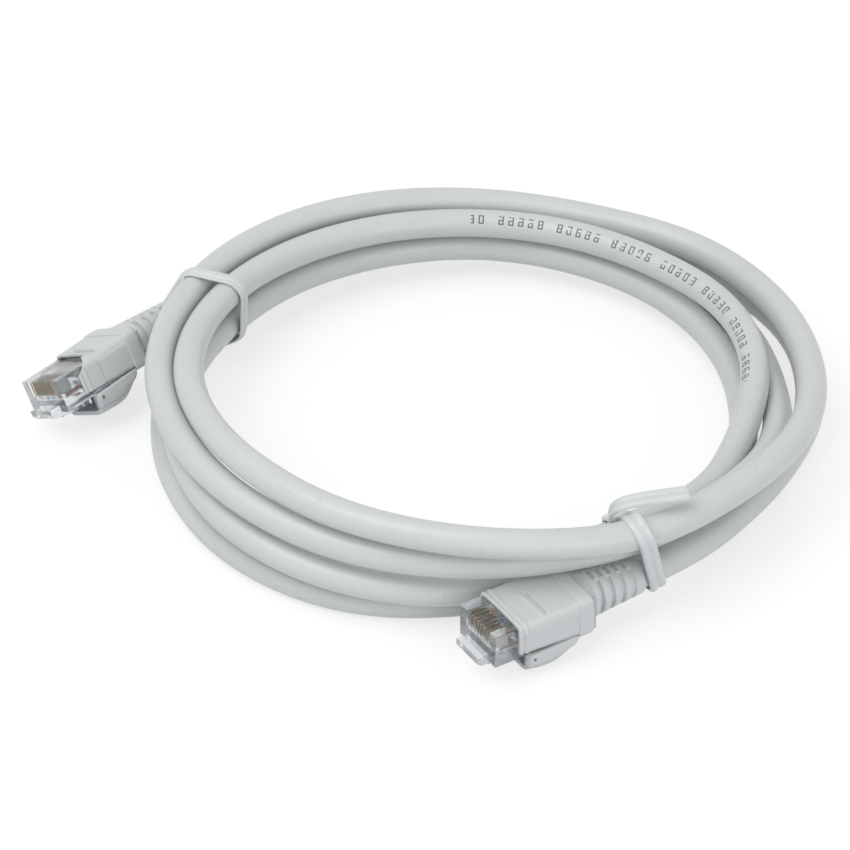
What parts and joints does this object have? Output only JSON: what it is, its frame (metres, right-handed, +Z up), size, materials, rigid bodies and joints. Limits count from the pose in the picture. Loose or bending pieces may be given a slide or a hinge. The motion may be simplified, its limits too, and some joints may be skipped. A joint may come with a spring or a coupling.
{
  "type": "ethernet patch cable",
  "caption": "Round network patch cable wound in a loose tied ring, with a clear latching modular plug and a moulded boot at each end.",
  "frame": {"origin": "centre of the whole object's box, at floor height", "axes": "+Z up from the floor it lies on, +Y away from the viewer of the picture, +X to the viewer's right"},
  "size_m": [0.1565, 0.1519, 0.0271],
  "materials": {
    "jacket": "satin",
    "boot": "satin",
    "clear_plastic": "clear, glossy",
    "gold_contact": "polished",
    "twist_tie": "satin",
    "wire_orange_white": "gloss",
    "wire_orange": "gloss",
    "wire_green_white": "gloss",
    "wire_blue": "gloss",
    "wire_blue_white": "gloss",
    "wire_green": "gloss",
    "wire_brown_white": "gloss",
    "wire_brown": "gloss"
  },
  "bodies": {
    "cable": {"front_plug_housing": "clear_plastic", "front_plug_contact_1": "gold_contact", "front_plug_contact_2": "gold_contact", "front_plug_contact_3": "gold_contact", "front_plug_contact_4": "gold_contact", "front_plug_contact_5": "gold_contact", "front_plug_contact_6": "gold_contact", "front_plug_contact_7": "gold_contact", "front_plug_contact_8": "gold_contact", "front_plug_wire_1_orange_white": "wire_orange_white", "front_plug_wire_2_orange": "wire_orange", "front_plug_wire_3_green_white": "wire_green_white", "front_plug_wire_4_blue": "wire_blue", "front_plug_wire_5_blue_white": "wire_blue_white", "front_plug_wire_6_green": "wire_green", "front_plug_wire_7_brown_white": "wire_brown_white", "front_plug_wire_8_brown": "wire_brown", "front_plug_wire_guide": "clear_plastic", "front_plug_cable_clamp": "clear_plastic", "front_plug_boot": "boot", "left_plug_housing": "clear_plastic", "left_plug_contact_1": "gold_contact", "left_plug_contact_2": "gold_contact", "left_plug_contact_3": "gold_contact", "left_plug_contact_4": "gold_contact", "left_plug_contact_5": "gold_contact", "left_plug_contact_6": "gold_contact", "left_plug_contact_7": "gold_contact", "left_plug_contact_8": "gold_contact", "left_plug_wire_1_orange_white": "wire_orange_white", "left_plug_wire_2_orange": "wire_orange", "left_plug_wire_3_green_white": "wire_green_white", "left_plug_wire_4_blue": "wire_blue", "left_plug_wire_5_blue_white": "wire_blue_white", "left_plug_wire_6_green": "wire_green", "left_plug_wire_7_brown_white": "wire_brown_white", "left_plug_wire_8_brown": "wire_brown", "left_plug_wire_guide": "clear_plastic", "left_plug_cable_clamp": "clear_plastic", "left_plug_boot": "boot", "cable_coil": "jacket", "front_cable_tail": "jacket", "left_cable_tail": "jacket", "right_twist_tie": "twist_tie", "left_twist_tie": "twist_tie"},
    "front_plug_latch": {"front_plug_latch": "clear_plastic"},
    "front_plug_hood": {"front_plug_hood": "boot"},
    "left_plug_latch": {"left_plug_latch": "clear_plastic"},
    "left_plug_hood": {"left_plug_hood": "boot"}
  },
  "joints": [
    {"name": "front_plug_latch_press", "type": "hinge", "parent": "cable", "child": "front_plug_latch", "pos_m": [0.00951, -0.07107, 0.00495], "axis": [0.5299, -0.848, 0], "range_deg": [0, 4], "stiffness_Nm_per_rad": 0.6},
    {"name": "front_plug_hood_press", "type": "hinge", "parent": "cable", "child": "front_plug_hood", "pos_m": [0.02384, -0.06212, 0.0045], "axis": [-0.5299, 0.848, 0], "range_deg": [0, 6], "stiffness_Nm_per_rad": 0.4},
    {"name": "left_plug_latch_press", "type": "hinge", "parent": "cable", "child": "left_plug_latch", "pos_m": [-0.07174, 0.00121, 0.00589], "axis": [0.6354, -0.625, 0.4534], "range_deg": [0, 4], "stiffness_Nm_per_rad": 0.6},
    {"name": "left_plug_hood_press", "type": "hinge", "parent": "cable", "child": "left_plug_hood", "pos_m": [-0.06007, 0.01343, 0.00638], "axis": [-0.6354, 0.625, -0.4534], "range_deg": [0, 6], "stiffness_Nm_per_rad": 0.4}
  ],
  "couplings": [
    {"joint": "front_plug_hood_press", "follows": "front_plug_latch_press", "ratio": 1.5},
    {"joint": "left_plug_hood_press", "follows": "left_plug_latch_press", "ratio": 1.5}
  ]
}
